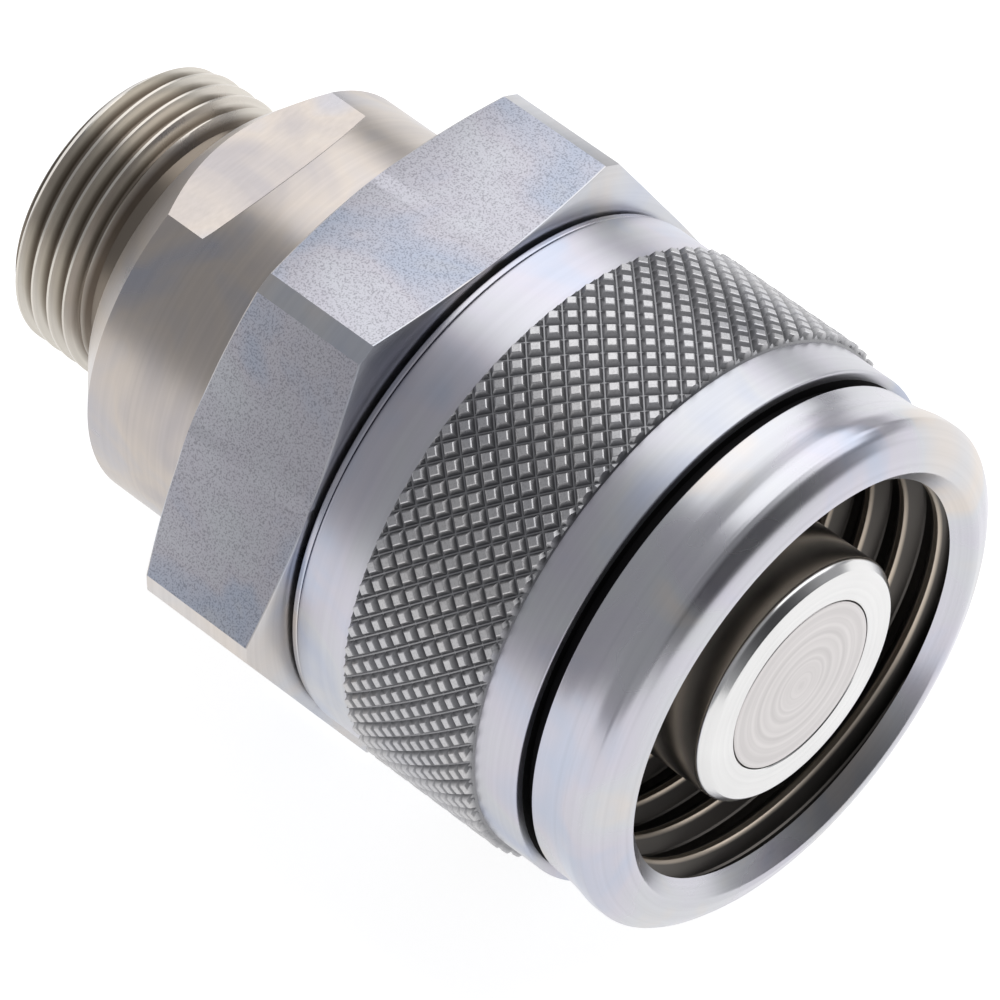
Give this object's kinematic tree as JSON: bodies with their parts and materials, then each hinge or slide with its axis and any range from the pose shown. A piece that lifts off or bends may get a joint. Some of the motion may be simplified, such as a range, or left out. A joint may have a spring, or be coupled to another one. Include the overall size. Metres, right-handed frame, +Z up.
{
  "type": "quick disconnect coupler",
  "caption": "Screw-to-connect flat-face hydraulic coupler half: knurled turning sleeve over a nose with a sprung poppet, hexagon body, and rear adapter with a threaded 24 degree cone tube stub.",
  "frame": {"origin": "centre of the flat coupling face, on the coupler's axis", "axes": "+X along the axis and out of the mouth, +Z up, square to an upper flat of the hexagon"},
  "size_m": [0.0638, 0.0464, 0.041],
  "materials": {
    "adapter_steel": "zinc plated and passivated, turned, smooth",
    "body_steel": "zinc plated and passivated, matt on the flats",
    "nose_steel": "zinc plated and passivated, finely turned",
    "inner_steel": "bare steel, turned",
    "spring_steel": "drawn spring wire",
    "poppet_steel": "finely turned with concentric marks",
    "sleeve_steel": "zinc plated and passivated, glossy, turned",
    "grip_steel": "zinc plated and passivated, diamond knurled",
    "seal_rubber": "nitrile rubber",
    "ptfe": "white PTFE",
    "bronze": "sintered bronze"
  },
  "bodies": {
    "body": {"rear_adapter": "adapter_steel", "adapter_oring": "seal_rubber", "adapter_backup_ring": "ptfe", "hex_body": "body_steel", "nose": "nose_steel", "nose_oring": "seal_rubber", "nose_backup_ring": "ptfe", "stem_guide": "inner_steel", "guide_bush": "bronze", "spring_seat": "inner_steel", "valve_spring": "spring_steel", "retaining_wire": "spring_steel", "thrust_washer": "bronze", "dust_seal": "seal_rubber"},
    "poppet": {"poppet_head": "poppet_steel", "valve_stem": "inner_steel", "poppet_oring": "seal_rubber", "poppet_backup_ring": "ptfe"},
    "sleeve": {"union_nut": "sleeve_steel", "grip_ring": "grip_steel", "lock_ring": "sleeve_steel"}
  },
  "joints": [
    {"name": "sleeve_spin", "type": "hinge", "parent": "body", "child": "sleeve", "pos_m": [-0.0221, 0, 0], "axis": [1, 0, 0], "continuous": true},
    {"name": "poppet_slide", "type": "slide", "parent": "body", "child": "poppet", "axis": [-1, 0, 0], "range_m": [0, 0.008], "stiffness_N_per_m": 2600, "springref_m": -0.001, "deforming": ["valve_spring"]}
  ]
}
